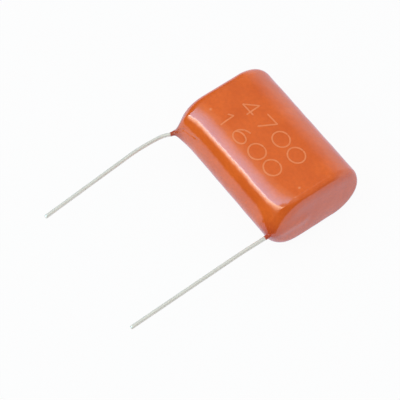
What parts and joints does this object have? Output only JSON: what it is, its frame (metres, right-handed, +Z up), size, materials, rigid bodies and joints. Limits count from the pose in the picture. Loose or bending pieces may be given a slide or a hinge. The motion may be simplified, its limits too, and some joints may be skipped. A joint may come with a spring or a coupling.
{
  "type": "polyester film capacitor",
  "caption": "Flat epoxy-dipped polyester film capacitor with rounded sides and bare tinned wire leads that leave one side through resin flares, lying on its back.",
  "frame": {"origin": "centre of the flat back face that the body lies on", "axes": "+X along the body from the left lead to the right lead, +Y from the lead side to the closed side, +Z up out of the marked face"},
  "size_m": [0.024, 0.0407, 0.01],
  "materials": {
    "epoxy_coat": "glossy orange-red dipped epoxy",
    "polyester_film": "metallised polyester film, wound and pressed",
    "sprayed_zinc": "rough sprayed zinc",
    "tinned_wire": "bright drawn wire with a tin coat"
  },
  "bodies": {
    "root": {"epoxy_coating": "epoxy_coat", "film_winding": "polyester_film", "left_end_spray": "sprayed_zinc", "right_end_spray": "sprayed_zinc", "left_lead": "tinned_wire", "right_lead": "tinned_wire"}
  },
  "joints": []
}
